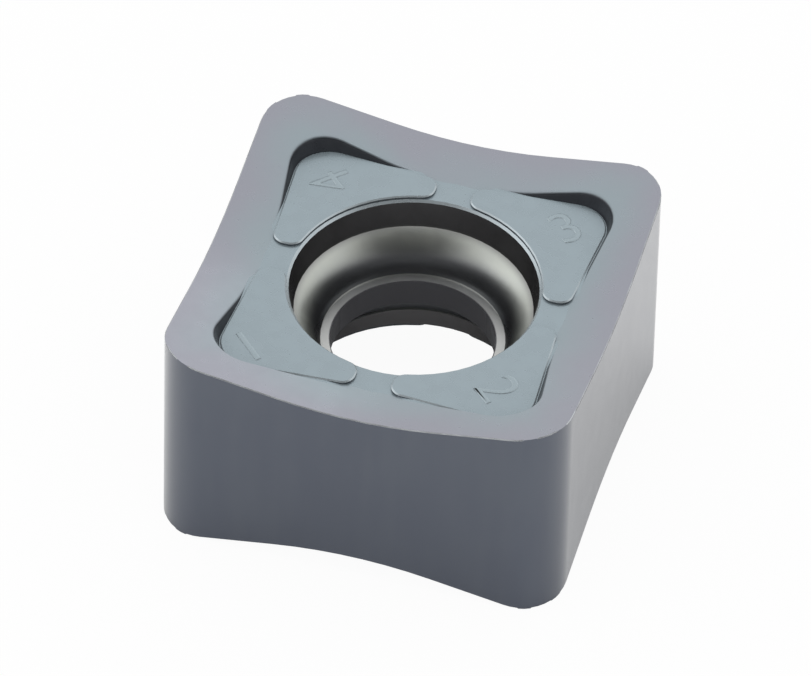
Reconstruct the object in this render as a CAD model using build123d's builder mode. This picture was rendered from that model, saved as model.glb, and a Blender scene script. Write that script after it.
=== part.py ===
"""Square double-sided carbide milling insert, one solid.

Millimetres, +Z up. The origin is the centre of the insert at mid-height;
the flanks face -X, +X, -Y and +Y, and the upper and lower faces are alike.
"""

import os
from math import cos, radians, sqrt, tan

from build123d import *

# Blank
side = 12.7             # across opposite flanks, the inscribed circle
corner_radius = 1.55    # nose radius of the four corners in plan
corner_height = 3.61    # mid-plane to the highest point of a corner

# Dished top: four facets falling from the corners to a flat land
rake_angle = 9.5        # fall of a facet measured along either side, degrees
valley_radius = 15.0    # rounding of the valleys between two facets
land_depth = 0.97       # land below the corners

# Seating pads, one towards each corner
pad_rise = 0.11         # pad above the land
pad_reach = 5.0         # centre to the outer side of a pad, at its corner
pad_lean = 3.7          # outer side leaning in towards the mid-line, degrees
pad_gap = 1.14          # clear width between two neighbouring pads
pad_corner = 1.08       # outer corner radius of a pad
pad_chamfer = 0.04      # broken edge round the top of a pad
pad_setback = 0.08      # inner side of the pads outside the mouth of the hole

# Pocket that frees a pad from the facets
pocket_clearance = 0.02  # at the foot of the pad
pocket_draft = 20.0      # lean of the pocket wall, degrees
rim_depth = 0.12         # depth of the flare where the wall meets a facet
rim_flare = 50.0         # lean of the flare from square to that facet, degrees
rim_corner = 1.1         # corner radius at the foot of the flare

# Screw hole: from each face a steep wall, a rounded shoulder and a narrow ring
mouth_radius = 3.81     # at the top of the steep wall
mouth_chamfer = 0.07
wall_depth = 0.91       # of the steep wall, below the land
wall_taper = 11.0       # of that wall, degrees
shoulder_radius = 1.6   # rounding that the screw head bears on
ring_radius = 2.82      # outer radius of the ring round the throat
ring_height = 0.47      # mid-plane to the ring
throat_radius = 2.53

half = side / 2
fall = tan(radians(rake_angle))
land = corner_height - land_depth
pad_top = land + pad_rise
nose = half - corner_radius * (1 - sqrt(0.5))   # x = y at the middle of a corner
inner = mouth_radius + pad_setback              # concave inner side of the pads
above = 1.0                                     # spare height of the cutters

# One side of the top: the valley profile of its cutting edge, drawn inwards and down
valley = corner_height - fall * (2 * nose - half)
with BuildPart() as flank_side:
    with BuildSketch(Plane.YZ.offset(half)) as edge_profile:
        with BuildLine():
            Polyline(
                (0, valley),
                (half, valley + fall * half),
                (half, 0),
                (-half, 0),
                (-half, valley + fall * half),
                close=True,
            )
        make_face()
        fillet(edge_profile.vertices().sort_by(lambda v: abs(v.X))[0], radius=valley_radius)
    extrude(amount=half / cos(radians(rake_angle)), dir=(-1, 0, -fall))

# Outer sides of the pad in the +X +Y corner, before any rounding
pad_end = pad_reach - (pad_reach - pad_gap / 2) * tan(radians(pad_lean))
with BuildSketch() as pad_sides:
    with BuildLine():
        Polyline(
            (pad_gap / 2, pad_gap / 2),
            (pad_gap / 2, pad_end),
            (pad_reach, pad_reach),
            (pad_end, pad_gap / 2),
            close=True,
        )
    make_face()

# The pad, its two ends fully rounded
end_width = pad_end - sqrt(inner**2 - (pad_gap / 2) ** 2)
with BuildPart() as pad:
    with BuildSketch() as outline:
        add(pad_sides.sketch)
        Circle(inner, mode=Mode.SUBTRACT)
        fillet(outline.vertices().sort_by(lambda v: v.X + v.Y)[-1], radius=pad_corner)
        ends = [v for v in outline.vertices() if min(v.X, v.Y) < pad_gap / 2 + 0.01]
        fillet(ends, radius=0.48 * end_width)
    extrude(amount=pad_top)
    chamfer(pad.faces().sort_by(Axis.Z)[-1].edges(), length=pad_chamfer)

# Pocket, drafted outwards from the broken edge of the pad
floor = pad_top - pad_chamfer
with BuildPart() as pocket:
    with BuildSketch(Plane.XY.offset(floor)) as foot:
        add(pad_sides.sketch)
        fillet(foot.vertices().sort_by(lambda v: v.X + v.Y)[-1], radius=pad_corner)
        offset(amount=pocket_clearance, kind=Kind.INTERSECTION)
    extrude(amount=land_depth, taper=-pocket_draft)

# Flare round the rim, from where the pocket wall crosses a plane rim_depth under the facet
under = corner_height - 2 * fall * nose - rim_depth     # height of that plane on the axis
lean = tan(radians(pocket_draft))
rim_reach = pad_reach + pocket_clearance + (under - floor) * lean
rim_reach = rim_reach / (1 - 2 * fall * lean)
rim_end = pad_end + pocket_clearance + (under - floor + fall * pad_gap / 2) * lean
rim_end = rim_end / (1 - fall * lean)
rim_points = [
    (pad_gap / 2, pad_gap / 2),
    (rim_end, pad_gap / 2),
    (rim_reach, rim_reach),
    (pad_gap / 2, rim_end),
]
rim = make_face(Polyline(*[(x, y, under + fall * (x + y)) for x, y in rim_points], close=True))
rim = fillet(rim.vertices().sort_by(Axis.Z)[-1], radius=rim_corner)
with BuildPart() as flare:
    extrude(rim, amount=2 * rim_depth, taper=-rim_flare)
    split(bisect_by=Plane.XY.offset(floor), keep=Keep.TOP)

# Section of the hole, from the axis outwards
with BuildPart() as hole:
    with BuildSketch(Plane.XZ):
        with BuildLine():
            foot = mouth_radius - (wall_depth - mouth_chamfer) * tan(radians(wall_taper))
            wall = Polyline(
                (mouth_radius + mouth_chamfer, land),
                (mouth_radius, land - mouth_chamfer),
                (foot, land - wall_depth),
            )
            shoulder = RadiusArc(wall @ 1, (ring_radius, ring_height), -shoulder_radius)
            Polyline(
                shoulder @ 1,
                (throat_radius, ring_height),
                (throat_radius, 0),
                (0, 0),
                (0, land + above),
                (mouth_radius + mouth_chamfer, land + above),
                wall @ 0,
            )
        make_face()
    revolve(axis=Axis.Z)

# Everything above the mid-plane
with BuildPart() as upper:
    with PolarLocations(0, 4):
        add(flank_side.part)
    with BuildSketch() as plan:
        RectangleRounded(side, side, corner_radius)
    extrude(amount=corner_height + above, mode=Mode.INTERSECT)
    extrude(plan.sketch, amount=land)
    with PolarLocations(0, 4):
        add(pocket.part, mode=Mode.SUBTRACT)
        add(flare.part, mode=Mode.SUBTRACT)
    with Locations((0, 0, land)):
        Cylinder(
            inner + pocket_clearance,
            above,
            align=(Align.CENTER, Align.CENTER, Align.MIN),
            mode=Mode.SUBTRACT,
        )
    with PolarLocations(0, 4):
        add(pad.part)
    add(hole.part, mode=Mode.SUBTRACT)

with BuildPart() as insert:
    add(upper.part)
    mirror(about=Plane.XY)

insert.part.label = "insert"
os.makedirs("parts", exist_ok=True)
export_step(insert.part, "parts/insert.step")
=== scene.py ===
"""Looks for a square double-sided carbide milling insert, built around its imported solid."""

from math import cos, pi, radians, sin, sqrt, tan

import bmesh
import bpy
from mathutils import Matrix, Vector


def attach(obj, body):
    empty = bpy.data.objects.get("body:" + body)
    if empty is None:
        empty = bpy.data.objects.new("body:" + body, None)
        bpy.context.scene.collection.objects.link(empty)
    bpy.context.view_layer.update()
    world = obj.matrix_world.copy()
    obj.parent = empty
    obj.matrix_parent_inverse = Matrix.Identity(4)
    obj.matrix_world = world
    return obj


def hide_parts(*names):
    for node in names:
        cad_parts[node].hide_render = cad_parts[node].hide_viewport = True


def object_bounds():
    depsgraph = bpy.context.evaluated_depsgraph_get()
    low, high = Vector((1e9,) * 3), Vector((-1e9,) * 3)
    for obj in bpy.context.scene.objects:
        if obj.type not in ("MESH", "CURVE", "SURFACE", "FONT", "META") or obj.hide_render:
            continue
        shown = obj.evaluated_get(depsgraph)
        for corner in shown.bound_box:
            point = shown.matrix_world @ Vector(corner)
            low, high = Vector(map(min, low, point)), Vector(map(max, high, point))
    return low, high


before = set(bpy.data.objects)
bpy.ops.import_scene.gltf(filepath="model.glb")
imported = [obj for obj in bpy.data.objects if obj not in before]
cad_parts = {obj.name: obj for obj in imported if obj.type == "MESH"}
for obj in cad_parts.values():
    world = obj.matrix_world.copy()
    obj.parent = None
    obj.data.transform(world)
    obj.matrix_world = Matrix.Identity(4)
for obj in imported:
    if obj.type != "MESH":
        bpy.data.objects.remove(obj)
cad_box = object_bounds()

MM = 0.001
SIDE = 12.7 * MM
FLANK = SIDE / 2
CORNER_RADIUS = 1.55 * MM

# Shape of the dished top and of the screw hole, as the solid has them
RAKE = radians(9.5)
VALLEY = 15 * MM
PAD_TOP = 2.75 * MM
PAD_REACH = 5 * MM
PAD_LEAN = radians(3.7)
MOUTH_RADIUS = 3.81 * MM
SHOULDER_TOP = 1.73 * MM
SHOULDER_RADIUS = 1.6 * MM
SHOULDER_CENTRE = (4.4135 * MM, 0.3257 * MM)    # of its rounding: radius from the axis, height
RING_HEIGHT = 0.47 * MM
RING_RADIUS = 2.82 * MM
THROAT_RADIUS = 2.53 * MM

# Heights above the mid-plane between which the bowl changes colour: painted shade on the foot and wall
FOOT_TO_SHOULDER = (1.0 * MM, 1.62 * MM)
SHOULDER_TO_WALL = (1.60 * MM, 1.82 * MM)

HONE = 0.035 * MM               # width of the rounded cutting edge
CORNER_CUT = 0.68 * MM          # from the square's sharp corner to just inside the round one
EDGE_FOOT = 2 * MM              # a height below every cutting edge
SHARP = radians(60)             # least turn between the faces at a cutting edge
NUMERAL_SIZE = 1.9 * MM
NUMERAL_REACH = (5.72 * MM, 5.15 * MM, 5.3 * MM, 5.15 * MM)     # from the axis, corner by corner
NUMERAL_RELIEF = 0.03 * MM      # height above the pad
NUMERAL_EDGE = 0.06 * MM        # width of its sloping sides

# Upward share of a face's normal
UPRIGHT = 0.1                   # flanks and other walls have less
LEVEL = 0.9                     # tops have more
FACET_RISE = 0.93               # facets have more, pocket walls and their rims less
RIM_RISE = 0.5                  # pocket rims have more, pocket walls less

CREASE = 0.88                   # cosine of the widest angle that shading smooths over
HAIR = 0.01 * MM                # slack for rounding, and the measure of narrow borders
SATIN = 0.6                     # metal share of the satin finishes
DARK_END = (0.269, -0.667, 0.695)       # towards the end of the room that is mirrored dark
FLOOR_RADIUS = 0.6


# Nodes that the finishes and the studio share


def coat(name, roughness, metallic=1.0):
    """A coated metal: the material, its node tree and its surface shader."""
    material = bpy.data.materials.new(name)
    material.use_nodes = True
    tree = material.node_tree
    surface = tree.nodes["Principled BSDF"]
    surface.inputs["Metallic"].default_value = metallic
    surface.inputs["Roughness"].default_value = roughness
    return material, tree, surface


def feed(tree, socket, value):
    """Link a socket to another one, or set it to a number or a colour."""
    if isinstance(value, bpy.types.NodeSocket):
        tree.links.new(value, socket)
    elif isinstance(value, tuple):
        socket.default_value = (*value, 1)
    else:
        socket.default_value = value


def calculate(tree, operation, *values):
    """A Math node fed by sockets or numbers."""
    node = tree.nodes.new("ShaderNodeMath")
    node.operation = operation
    for socket, value in zip(node.inputs, values):
        feed(tree, socket, value)
    return node.outputs[0]


def ramp(tree, value, low, high, to_low=0.0, to_high=1.0):
    """The value carried smoothly from low..high to to_low..to_high."""
    node = tree.nodes.new("ShaderNodeMapRange")
    node.interpolation_type = "SMOOTHSTEP"
    bounds = {"Value": value, "From Min": low, "From Max": high, "To Min": to_low, "To Max": to_high}
    for name, bound in bounds.items():
        feed(tree, node.inputs[name], bound)
    return node.outputs["Result"]


def blend(tree, share, first, second):
    """A colour between two colours, given as numbers or as sockets."""
    node = tree.nodes.new("ShaderNodeMix")
    node.data_type = "RGBA"
    tree.links.new(share, node.inputs["Factor"])
    colour_in = [socket for socket in node.inputs if socket.type == "RGBA"]
    feed(tree, colour_in[0], first)
    feed(tree, colour_in[1], second)
    return [socket for socket in node.outputs if socket.type == "RGBA"][0]


def along_axes(tree, coordinates):
    """The separate x, y and z of one kind of texture coordinates."""
    source = tree.nodes.new("ShaderNodeTexCoord")
    parts = tree.nodes.new("ShaderNodeSeparateXYZ")
    tree.links.new(source.outputs[coordinates], parts.inputs[0])
    return parts.outputs


def levelness(tree):
    """1 where the surface is level, 0 where it is upright."""
    return calculate(tree, "ABSOLUTE", along_axes(tree, "Normal")["Z"])


def mottle(tree, grain, detail=3.0, stretch=(1, 1, 1)):
    """Soft noise whose spots are about grain metres across, drawn out along an axis if asked."""
    source = tree.nodes.new("ShaderNodeTexCoord")
    drawn = tree.nodes.new("ShaderNodeMapping")
    drawn.inputs["Scale"].default_value = stretch
    noise = tree.nodes.new("ShaderNodeTexNoise")
    noise.inputs["Scale"].default_value = 1 / grain
    noise.inputs["Detail"].default_value = detail
    tree.links.new(source.outputs["Object"], drawn.inputs["Vector"])
    tree.links.new(drawn.outputs["Vector"], noise.inputs["Vector"])
    return noise.outputs["Fac"]


def grained(tree, surface, grain, height, spread):
    """Fine sintered grain: a shallow bump, and gloss that varies in patches by spread either way."""
    fine = mottle(tree, grain, 2.0)
    bump = tree.nodes.new("ShaderNodeBump")
    bump.inputs["Distance"].default_value = height
    bump.inputs["Strength"].default_value = 0.25
    tree.links.new(fine, bump.inputs["Height"])
    tree.links.new(bump.outputs["Normal"], surface.inputs["Normal"])
    patches = mottle(tree, 12 * grain)
    roughness = surface.inputs["Roughness"]
    middle = roughness.default_value
    tree.links.new(ramp(tree, patches, 0.3, 0.7, middle - spread, middle + spread), roughness)
    return fine, patches


# Finishes


def facet_coat():
    """Grey-blue by the pads and lilac towards the cutting edge, with painted shade dark down the pocket
    walls.
    """
    grey_blue = (0.295, 0.351, 0.381)
    lilac = (0.312, 0.318, 0.365)
    pale_grain = (0.35, 0.375, 0.40)
    # dark grey of the pocket walls: painted shade
    shaded_wall_grey = (0.035, 0.038, 0.045)
    wander = 2.4 * MM       # of the border between grey-blue and lilac
    material, tree, surface = coat("facet_coat", 0.3, SATIN)
    fine, _ = grained(tree, surface, 0.05 * MM, 0.0004 * MM, 0.03)
    place = along_axes(tree, "Object")
    across = calculate(tree, "ABSOLUTE", place["X"])
    along = calculate(tree, "ABSOLUTE", place["Y"])
    out = calculate(tree, "MAXIMUM", across, along)
    cloud = calculate(tree, "MULTIPLY_ADD", mottle(tree, 3 * MM), wander, -wander / 2)
    near_edge = ramp(tree, calculate(tree, "ADD", out, cloud), 4.6 * MM, 6.4 * MM)
    speckle = calculate(tree, "MULTIPLY", ramp(tree, fine, 0.3, 0.8), 0.2)
    top = blend(tree, speckle, blend(tree, near_edge, grey_blue, lilac), pale_grain)
    # steep faces darken towards the dark grey: painted shade down the pocket walls
    level = ramp(tree, levelness(tree), 0.55, 0.965)
    feed(tree, surface.inputs["Base Color"], blend(tree, level, shaded_wall_grey, top))
    return material


def pad_coat():
    """Grey-blue of the pads and of the land between them, with painted shade on the steep sides and a
    painted highlight on the broken edges.
    """
    grey_blue = (0.297, 0.357, 0.390)
    pale_blue = (0.309, 0.373, 0.407)
    # dark grey of the steep sides: painted shade
    shaded_side_grey = (0.11, 0.125, 0.14)
    # pale blue of the broken edges: a painted highlight
    highlight_blue = (0.47, 0.53, 0.56)
    material, tree, surface = coat("pad_coat", 0.28, SATIN)
    _, patches = grained(tree, surface, 0.04 * MM, 0.0002 * MM, 0.03)
    top = blend(tree, ramp(tree, patches, 0.25, 0.75), grey_blue, pale_blue)
    level = levelness(tree)
    # the steep sides take the dark grey: painted shade
    colour = blend(tree, ramp(tree, level, 0.1, 0.9), shaded_side_grey, top)
    # the broken edges take the pale blue: a painted highlight
    above_side = ramp(tree, level, 0.5, 0.65)
    below_top = ramp(tree, level, 0.8, 0.95, 1.0, 0.0)
    edge_highlight = calculate(tree, "MULTIPLY", above_side, below_top)
    feed(tree, surface.inputs["Base Color"], blend(tree, edge_highlight, colour, highlight_blue))
    return material


def numeral_coat():
    """The pads' grey-blue, with a painted highlight on the edges of the numerals."""
    # pale blue of the numerals' sloping edges: a painted highlight
    highlight_blue = (0.50, 0.56, 0.59)
    grey_blue = (0.322, 0.387, 0.419)
    material, tree, surface = coat("numeral_coat", 0.28, SATIN)
    grained(tree, surface, 0.04 * MM, 0.0002 * MM, 0.03)
    level = ramp(tree, levelness(tree), 0.5, 0.97)
    # the sloping edges take the pale blue: a painted highlight
    feed(tree, surface.inputs["Base Color"], blend(tree, level, highlight_blue, grey_blue))
    return material


def flank_coat():
    """Darker, smoother grey of the flanks under a glassy hard coat, with faint upright streaks; the
    darker grey is painted shade.
    """
    # both greys are set darker than the top's: painted shade on the flanks
    dark_grey = (0.080, 0.094, 0.127)
    pale_grey = (0.090, 0.105, 0.136)
    material, tree, surface = coat("flank_coat", 0.22)
    grained(tree, surface, 0.05 * MM, 0.0002 * MM, 0.02)
    surface.inputs["Coat Weight"].default_value = 1.0
    surface.inputs["Coat Roughness"].default_value = 0.15
    streaks = calculate(tree, "MULTIPLY", mottle(tree, 0.5 * MM, stretch=(1, 1, 0.12)), 0.45)
    clouds = calculate(tree, "MULTIPLY", mottle(tree, 4 * MM), 0.55)
    tone = calculate(tree, "ADD", streaks, clouds)
    colour = blend(tree, ramp(tree, tone, 0.35, 0.65), dark_grey, pale_grey)
    feed(tree, surface.inputs["Base Color"], colour)
    return material


def bowl_coat():
    """Grey of the screw hole: a bright shoulder between a darker foot and wall, and a dull throat, where
    the foot, wall and throat are painted shade and the ring a painted highlight.
    """
    shoulder_grey = (0.49, 0.51, 0.48)
    shoulder_pale = (0.53, 0.55, 0.51)
    # darker greys of the foot and wall: painted shade
    shaded_foot_grey = (0.19, 0.195, 0.205)
    shaded_wall_grey = (0.21, 0.205, 0.21)
    # lighter grey of the ring: a painted highlight
    highlight_ring_grey = (0.57, 0.58, 0.57)
    # darker grey of the throat: painted shade
    shaded_throat_grey = (0.11, 0.11, 0.12)
    bowl_metal, throat_metal = 0.95, 0.3
    material, tree, surface = coat("bowl_coat", 0.32)
    _, patches = grained(tree, surface, 0.05 * MM, 0.0003 * MM, 0.02)
    surface.inputs["Specular Tint"].default_value = (0.1, 0.1, 0.1, 1)
    place = along_axes(tree, "Object")
    height = calculate(tree, "ABSOLUTE", place["Z"])
    across = calculate(tree, "MULTIPLY", place["X"], place["X"])
    along = calculate(tree, "MULTIPLY", place["Y"], place["Y"])
    radius = calculate(tree, "SQRT", calculate(tree, "ADD", across, along))
    colour = blend(tree, ramp(tree, patches, 0.25, 0.75), shoulder_grey, shoulder_pale)
    # the foot darkened: painted shade
    colour = blend(tree, ramp(tree, height, *FOOT_TO_SHOULDER), shaded_foot_grey, colour)
    # the wall darkened: painted shade
    colour = blend(tree, ramp(tree, height, *SHOULDER_TO_WALL), colour, shaded_wall_grey)
    # the ring lightened: a painted highlight
    off_ring = ramp(tree, height, RING_HEIGHT + 3 * HAIR, RING_HEIGHT + 5 * HAIR)
    colour = blend(tree, off_ring, highlight_ring_grey, colour)
    # the throat darkened: painted shade
    off_throat = ramp(tree, radius, THROAT_RADIUS + HAIR, THROAT_RADIUS + 4 * HAIR)
    metal = calculate(tree, "MULTIPLY_ADD", off_throat, bowl_metal - throat_metal, throat_metal)
    feed(tree, surface.inputs["Metallic"], metal)
    feed(tree, surface.inputs["Base Color"], blend(tree, off_throat, shaded_throat_grey, colour))
    return material


def hone_coat():
    """The rounded cutting edge, painted brighter than the coat on either side: a painted highlight."""
    coat_grey = (0.33, 0.34, 0.36)
    # the pale grey is a painted highlight along the edge
    highlight_grey = (0.48, 0.50, 0.52)
    material, tree, surface = coat("hone_coat", 0.25)
    # patches of the painted highlight
    highlight_patches = ramp(tree, mottle(tree, 0.6 * MM), 0.3, 0.7)
    feed(tree, surface.inputs["Base Color"], blend(tree, highlight_patches, coat_grey, highlight_grey))
    return material


FINISHES = (facet_coat, pad_coat, flank_coat, bowl_coat, hone_coat)


# The insert


def on_hone(point):
    """Whether a point lies at the edge of a flank or at the middle of a round corner."""
    out = max(abs(point.x), abs(point.y))
    return out > FLANK - 2 * HONE or point.xy.length > SIDE / sqrt(2) - CORNER_CUT


def finish_at(face):
    """Which finish a face of the insert has, told by where it lies and how steep it is."""
    centre = face.calc_center_median()
    rise = abs(face.normal.z)
    radius = centre.xy.length
    near, out = sorted((abs(centre.x), abs(centre.y)))
    if on_hone(centre) and UPRIGHT < rise < LEVEL:
        return hone_coat
    if rise < UPRIGHT and radius > MOUTH_RADIUS + MM:
        return flank_coat
    if radius < MOUTH_RADIUS and (radius < RING_RADIUS or face.normal.xy.dot(centre.xy) < 0):
        return bowl_coat
    beside = PAD_REACH - (PAD_REACH - near) * tan(PAD_LEAN)
    if out > beside + HAIR and rise < FACET_RISE:
        return facet_coat
    if abs(centre.z) < PAD_TOP + HAIR and out < PAD_REACH + 2 * HAIR:
        return pad_coat
    return facet_coat


def facet_normal(point):
    """Normal of the dished top, four facets whose valleys are rounded on the mid-lines."""
    slope = []
    for t in point.xy:
        if abs(t) > VALLEY * sin(RAKE):
            slope.append(tan(RAKE) if t > 0 else -tan(RAKE))
        else:
            slope.append(t / sqrt(VALLEY**2 - t**2))
    return Vector((-slope[0], -slope[1], 1 if point.z > 0 else -1)).normalized()


def flank_normal(point):
    """Normal of the upright flanks and of the round corners between them."""
    straight = FLANK - CORNER_RADIUS
    past = [max(abs(t) - straight, 0) * (1 if t > 0 else -1) for t in point.xy]
    return Vector((*past, 0)).normalized()


def shoulder_normal(point):
    """Normal of the rounded shoulder of the screw hole."""
    radius = point.xy.length
    inward = (radius - SHOULDER_CENTRE[0]) / SHOULDER_RADIUS
    up = (abs(point.z) - SHOULDER_CENTRE[1]) / SHOULDER_RADIUS
    across = point.xy / radius * inward
    return Vector((*across, up if point.z > 0 else -up)).normalized()


def shading_kind(face):
    """What a face is smoothed with: its finish, or a pocket's rim or wall, or the shoulder."""
    finish = FINISHES[face.material_index]
    rise = abs(face.normal.z)
    if finish is facet_coat and rise < FACET_RISE:
        return "rim" if rise > RIM_RISE else "pocket"
    outside_ring = face.center.xy.length > RING_RADIUS
    if finish is bowl_coat and outside_ring and abs(face.center.z) < SHOULDER_TOP:
        return "shoulder"
    return finish


def shading_normal(point, face, near, kinds):
    """A face's normal at one of its points, where the faces in near meet."""
    own = kinds[face.index]
    near_kinds = {kinds[f.index] for f in near}
    if own is facet_coat or (own in ("rim", hone_coat) and facet_coat in near_kinds):
        return facet_normal(point)
    if own is flank_coat or (own is hone_coat and flank_coat in near_kinds):
        return flank_normal(point)
    if own == "shoulder":
        return shoulder_normal(point)
    if own == "rim" and "pocket" in near_kinds:
        kin = [f for f in near if kinds[f.index] == "pocket"]
    else:
        kin = [f for f in near if kinds[f.index] == own and f.normal.dot(face.normal) > CREASE]
    return sum((f.normal * f.area for f in kin), Vector()).normalized()


def set_shading(mesh):
    """One normal per face corner: exact on facets, flanks and shoulder, eased over rims and hone."""
    around = [[] for _ in mesh.vertices]
    for face in mesh.polygons:
        for vertex in face.vertices:
            around[vertex].append(face)
    kinds = [shading_kind(face) for face in mesh.polygons]
    mesh.normals_split_custom_set([
        shading_normal(mesh.vertices[vertex].co, face, around[vertex], kinds)
        for face in mesh.polygons
        for vertex in face.vertices
    ])


def is_cutting_edge(edge):
    """Whether an edge is a sharp one between a flank and the top or underside, where the hone runs."""
    return (
        edge.calc_face_angle() > SHARP
        and all(on_hone(v.co) and abs(v.co.z) > EDGE_FOOT for v in edge.verts)
        and min(abs(f.normal.z) for f in edge.link_faces) < UPRIGHT
    )


def carbide_body():
    """The insert's solid as one smooth mesh with a honed edge and its finishes."""
    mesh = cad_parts["insert"].data.copy()
    mesh.name = "carbide_body"
    mesh.materials.clear()
    for finish in FINISHES:
        mesh.materials.append(finish())
    bm = bmesh.new()
    bm.from_mesh(mesh)
    bmesh.ops.remove_doubles(bm, verts=bm.verts, dist=HAIR / 10)
    bmesh.ops.bevel(
        bm, geom=[edge for edge in bm.edges if is_cutting_edge(edge)],
        offset=HONE, offset_type="OFFSET", segments=1,
        profile=0.5, affect="EDGES", clamp_overlap=True, material=-1,
    )
    for face in bm.faces:
        face.smooth = True
        face.material_index = FINISHES.index(finish_at(face))
    bm.to_mesh(mesh)
    bm.free()
    set_shading(mesh)
    body = bpy.data.objects.new("carbide_body", mesh)
    bpy.context.scene.collection.objects.link(body)
    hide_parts("insert")
    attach(body, "root")


def drawn_numeral(number):
    """The numeral as a mesh with sloping sides, lying on the mid-plane round the axis."""
    text = bpy.data.curves.new("numeral", "FONT")
    text.body = str(number)
    text.size = NUMERAL_SIZE
    text.align_x, text.align_y = "CENTER", "CENTER"
    text.bevel_depth = NUMERAL_EDGE
    text.offset = -NUMERAL_EDGE
    text.resolution_u = 6
    drawn = bpy.data.objects.new("numeral", text)
    bpy.context.scene.collection.objects.link(drawn)
    mesh = bpy.data.meshes.new_from_object(drawn.evaluated_get(bpy.context.evaluated_depsgraph_get()))
    bpy.data.objects.remove(drawn)
    bpy.data.curves.remove(text)
    return mesh


def index_numeral(number, material):
    """A raised numeral on its pad: 1 to 4 on the upper face, 5 to 8 on the lower."""
    mesh = drawn_numeral(number)
    corner = (number - 1) % 4
    place = Matrix.Rotation(radians(225 + 90 * corner), 4, "Z")
    place @= Matrix.Translation((NUMERAL_REACH[corner], 0, PAD_TOP))
    if number > 4:
        place = Matrix.Rotation(pi, 4, "X") @ place
    flatten = Matrix.Diagonal((1, 1, NUMERAL_RELIEF / NUMERAL_EDGE, 1))
    mesh.transform(place @ flatten)
    mesh.name = f"index_numeral_{number}"
    mesh.materials.clear()
    mesh.materials.append(material)
    for face in mesh.polygons:
        face.use_smooth = False
    numeral = bpy.data.objects.new(mesh.name, mesh)
    bpy.context.scene.collection.objects.link(numeral)
    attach(numeral, "root")


# The studio


def softbox(name, place, width, height, brightness):
    """A rectangular lamp aimed at the insert, of so many times the brightness of white."""
    light = bpy.data.lights.new(name, "AREA")
    light.shape = "RECTANGLE"
    light.size, light.size_y = width, height
    light.energy = brightness * pi * width * height
    lamp = bpy.data.objects.new(name, light)
    lamp.location = place
    lamp.rotation_mode = "QUATERNION"
    lamp.rotation_quaternion = (-Vector(place)).to_track_quat("-Z", "Y")
    bpy.context.scene.collection.objects.link(lamp)


def shown_white(tree, lit, to_camera, to_gloss):
    """White, by these shares, to the camera and to glossy and transmission rays; else lit."""
    path = tree.nodes.new("ShaderNodeLightPath").outputs
    white = tree.nodes.new("ShaderNodeEmission")
    mirrored = calculate(tree, "MAXIMUM", path["Is Glossy Ray"], path["Is Transmission Ray"])
    mirrored = calculate(tree, "MULTIPLY", mirrored, to_gloss)
    share = calculate(tree, "MULTIPLY_ADD", path["Is Camera Ray"], to_camera, mirrored)
    mix = tree.nodes.new("ShaderNodeMixShader")
    tree.links.new(share, mix.inputs["Fac"])
    tree.links.new(lit, mix.inputs[1])
    tree.links.new(white.outputs[0], mix.inputs[2])
    return mix.outputs["Shader"]


def studio():
    """A white room, mirrored dark at one end above the horizon, and softboxes above, behind and left."""
    white = (1, 1, 1)
    dark_grey = (0.04, 0.04, 0.04)
    world = bpy.data.worlds.new("studio")
    bpy.context.scene.world = world
    world.use_nodes = True
    tree = world.node_tree
    lit = tree.nodes["Background"]
    towards = tree.nodes.new("ShaderNodeTexCoord")
    facing = tree.nodes.new("ShaderNodeVectorMath")
    facing.operation = "DOT_PRODUCT"
    facing.inputs[1].default_value = DARK_END
    tree.links.new(towards.outputs["Generated"], facing.inputs[0])
    at_end = ramp(tree, facing.outputs["Value"], 0.55, 0.92)
    raised = ramp(tree, along_axes(tree, "Generated")["Z"], 0.06, 0.36)
    mirrored = tree.nodes.new("ShaderNodeLightPath").outputs["Is Glossy Ray"]
    dark = calculate(tree, "MULTIPLY", calculate(tree, "MULTIPLY", at_end, raised), mirrored)
    feed(tree, lit.inputs["Color"], blend(tree, dark, white, dark_grey))
    shown = shown_white(tree, lit.outputs[0], 1.0, 0.05)
    tree.links.new(shown, tree.nodes["World Output"].inputs["Surface"])
    softbox("top_softbox", (0, -0.03, 0.6), 0.2, 0.2, 0.9)
    softbox("back_softbox", (0.05, 0.45, 0.24), 0.3, 0.2, 0.35)
    softbox("left_softbox", (-0.5, -0.05, 0.2), 0.4, 0.3, 0.4)


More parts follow.
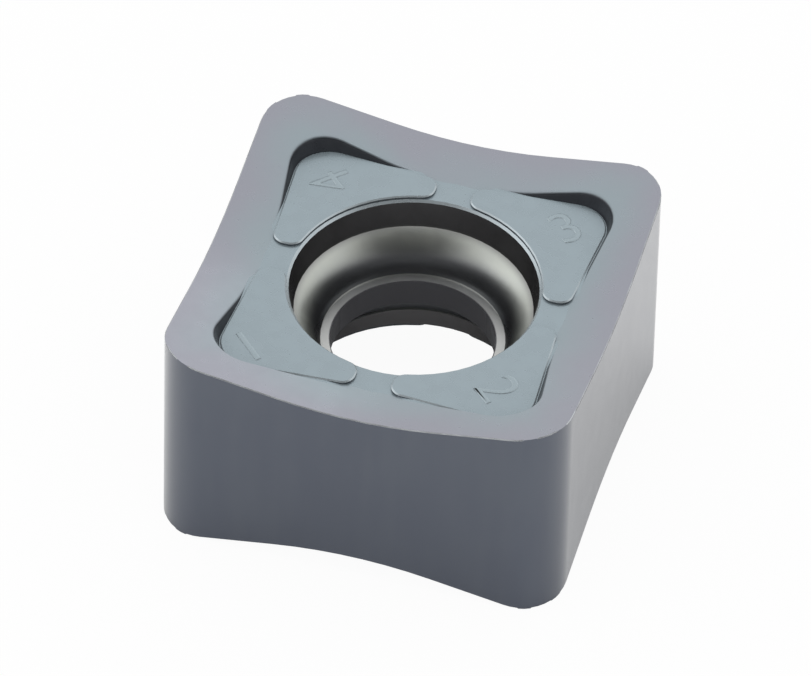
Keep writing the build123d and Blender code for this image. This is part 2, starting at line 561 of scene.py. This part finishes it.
def camera():
    """The photograph's viewpoint, from the fit to the insert's outlines."""
    azimuth, elevation, roll = -0.26990, 0.76751, -0.02625
    right_shift, down_shift, distance = 0.01671, 0.02766, 26.67162      # in sides of the insert
    focal_px, width_px = 11115.4, 811
    forward = Vector((sin(azimuth) * cos(elevation), cos(azimuth) * cos(elevation), -sin(elevation)))
    right = Vector((cos(azimuth), -sin(azimuth), 0))
    down = forward.cross(right)
    right, down = right * cos(roll) + down * sin(roll), down * cos(roll) - right * sin(roll)
    lens = bpy.data.cameras.new("camera")
    lens.sensor_width = 36
    lens.lens = focal_px / width_px * lens.sensor_width
    lens.clip_start, lens.clip_end = 0.01, 10
    eye = bpy.data.objects.new("camera", lens)
    place = -(right * right_shift + down * down_shift + forward * distance) * SIDE
    turn = Matrix((right, -down, -forward)).transposed().to_4x4()
    eye.matrix_world = Matrix.Translation(place) @ turn
    bpy.context.scene.collection.objects.link(eye)
    bpy.context.scene.camera = eye


def floor():
    """A white table top that keeps a soft shadow of the insert, and is clear from below."""
    bm = bmesh.new()
    bmesh.ops.create_circle(bm, cap_ends=True, segments=64, radius=FLOOR_RADIUS)
    bmesh.ops.translate(bm, verts=bm.verts, vec=(0, 0, cad_box[0].z))
    mesh = bpy.data.meshes.new("floor")
    bm.to_mesh(mesh)
    bm.free()
    sheet = bpy.data.objects.new("floor", mesh)
    bpy.context.scene.collection.objects.link(sheet)
    material, tree, surface = coat("white_floor", 0.8, metallic=0.0)
    feed(tree, surface.inputs["Base Color"], (0.85, 0.85, 0.85))
    shown = shown_white(tree, surface.outputs["BSDF"], 0.95, 0.1)
    below = tree.nodes.new("ShaderNodeNewGeometry")
    clear = tree.nodes.new("ShaderNodeBsdfTransparent")
    sided = tree.nodes.new("ShaderNodeMixShader")
    tree.links.new(below.outputs["Backfacing"], sided.inputs["Fac"])
    tree.links.new(shown, sided.inputs[1])
    tree.links.new(clear.outputs["BSDF"], sided.inputs[2])
    tree.links.new(sided.outputs["Shader"], tree.nodes["Material Output"].inputs["Surface"])
    mesh.materials.append(material)


carbide_body()
numeral_finish = numeral_coat()
for number in range(1, 9):
    index_numeral(number, numeral_finish)
floor()
studio()
camera()
bpy.context.scene.view_settings.view_transform = "Standard"
